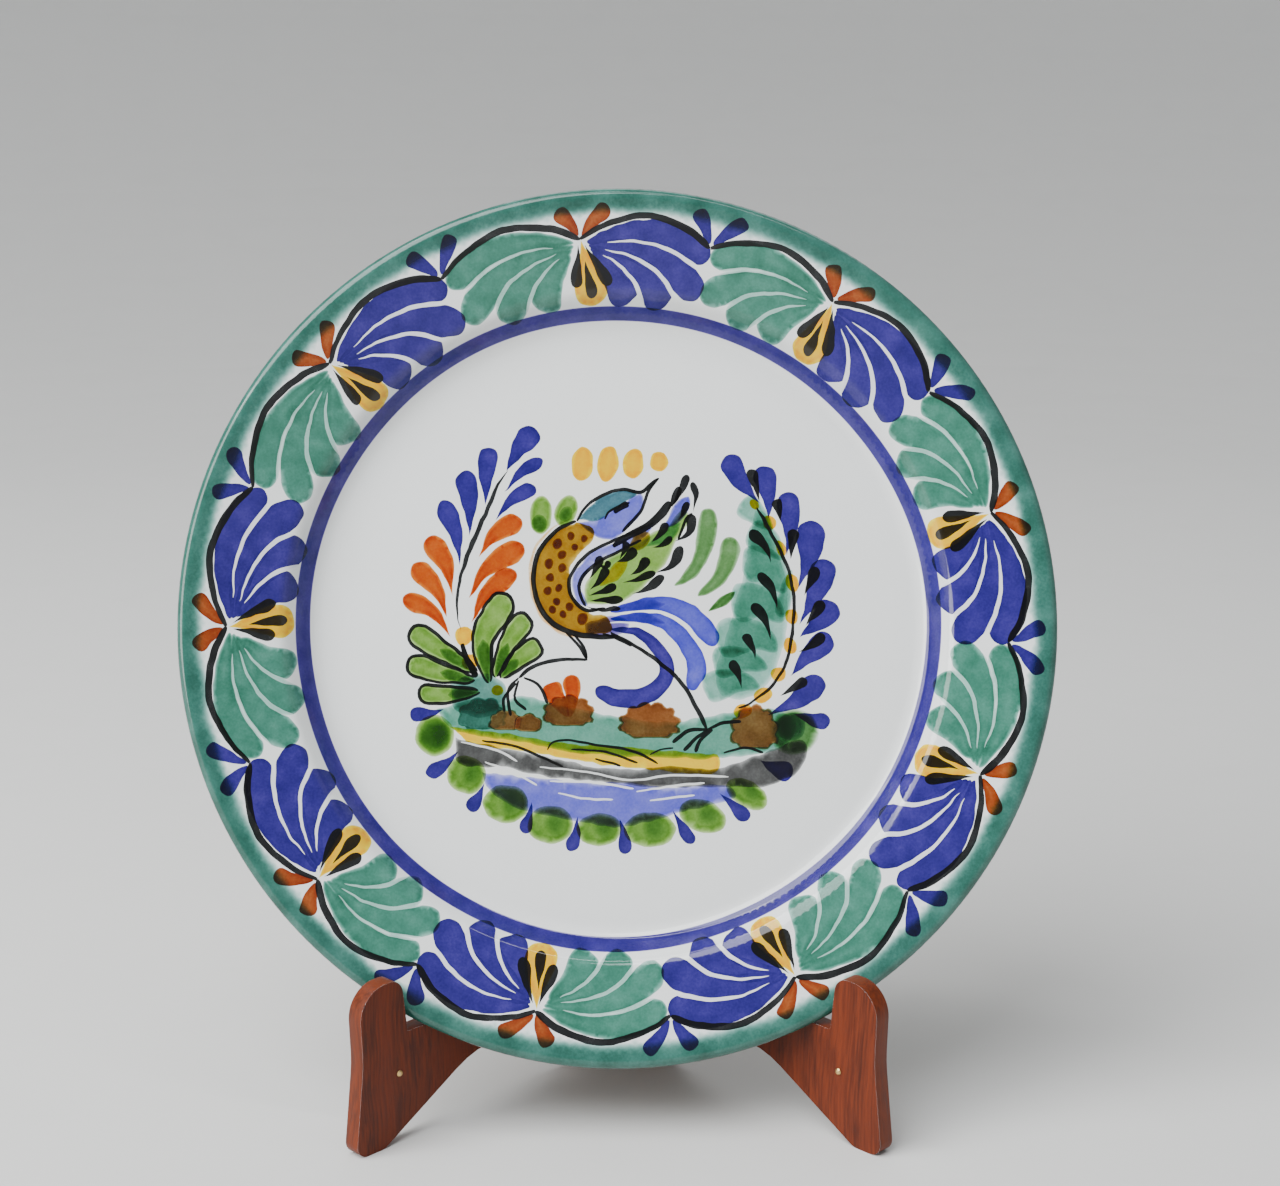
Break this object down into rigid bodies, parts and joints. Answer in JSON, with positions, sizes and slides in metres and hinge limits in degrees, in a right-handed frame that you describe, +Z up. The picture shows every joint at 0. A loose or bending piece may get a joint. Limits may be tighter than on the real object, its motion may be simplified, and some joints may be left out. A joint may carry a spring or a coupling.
{
  "type": "decorative plate on a folding stand",
  "caption": "Round hand painted tin-glazed ceramic plate with a bird and leaf picture and a scalloped rim, resting on a hinged folding wooden plate stand",
  "frame": {"origin": "on the surface it stands on, under the middle of the whole object", "axes": "+Z up, the plate faces -Y, +X is to the right as you face the plate"},
  "size_m": [0.33, 0.1128, 0.3465],
  "materials": {
    "tin_glaze": "glossy white tin glaze over earthenware, hand painted",
    "stained_wood": "red-brown stained hardwood with satin varnish",
    "brass": "plain brass, slightly dulled"
  },
  "bodies": {
    "stand_left": {"left_board": "stained_wood", "left_brad": "brass", "lower_hinge_left_leaf": "brass", "lower_left_screw_1": "brass", "lower_left_screw_2": "brass", "lower_hinge_pin": "brass", "upper_hinge_left_leaf": "brass", "upper_left_screw_1": "brass", "upper_left_screw_2": "brass", "upper_hinge_pin": "brass"},
    "stand_right": {"right_board": "stained_wood", "right_brad": "brass", "lower_hinge_right_leaf": "brass", "lower_right_screw_1": "brass", "lower_right_screw_2": "brass", "upper_hinge_right_leaf": "brass", "upper_right_screw_1": "brass", "upper_right_screw_2": "brass"},
    "charger": {"plate": "tin_glaze"}
  },
  "joints": [
    {"name": "plate_lift", "type": "slide", "parent": "stand_left", "child": "charger", "axis": [0, 0, 1], "range_m": [0, 0.32]},
    {"name": "stand_fold", "type": "hinge", "parent": "stand_left", "child": "stand_right", "pos_m": [0, 0.0379, 0.06], "axis": [0, 0, -1], "range_deg": [0, 88]}
  ],
  "couplings": [
    {"joint": "stand_fold", "follows": "plate_lift", "rad_per_m": 4.79}
  ]
}
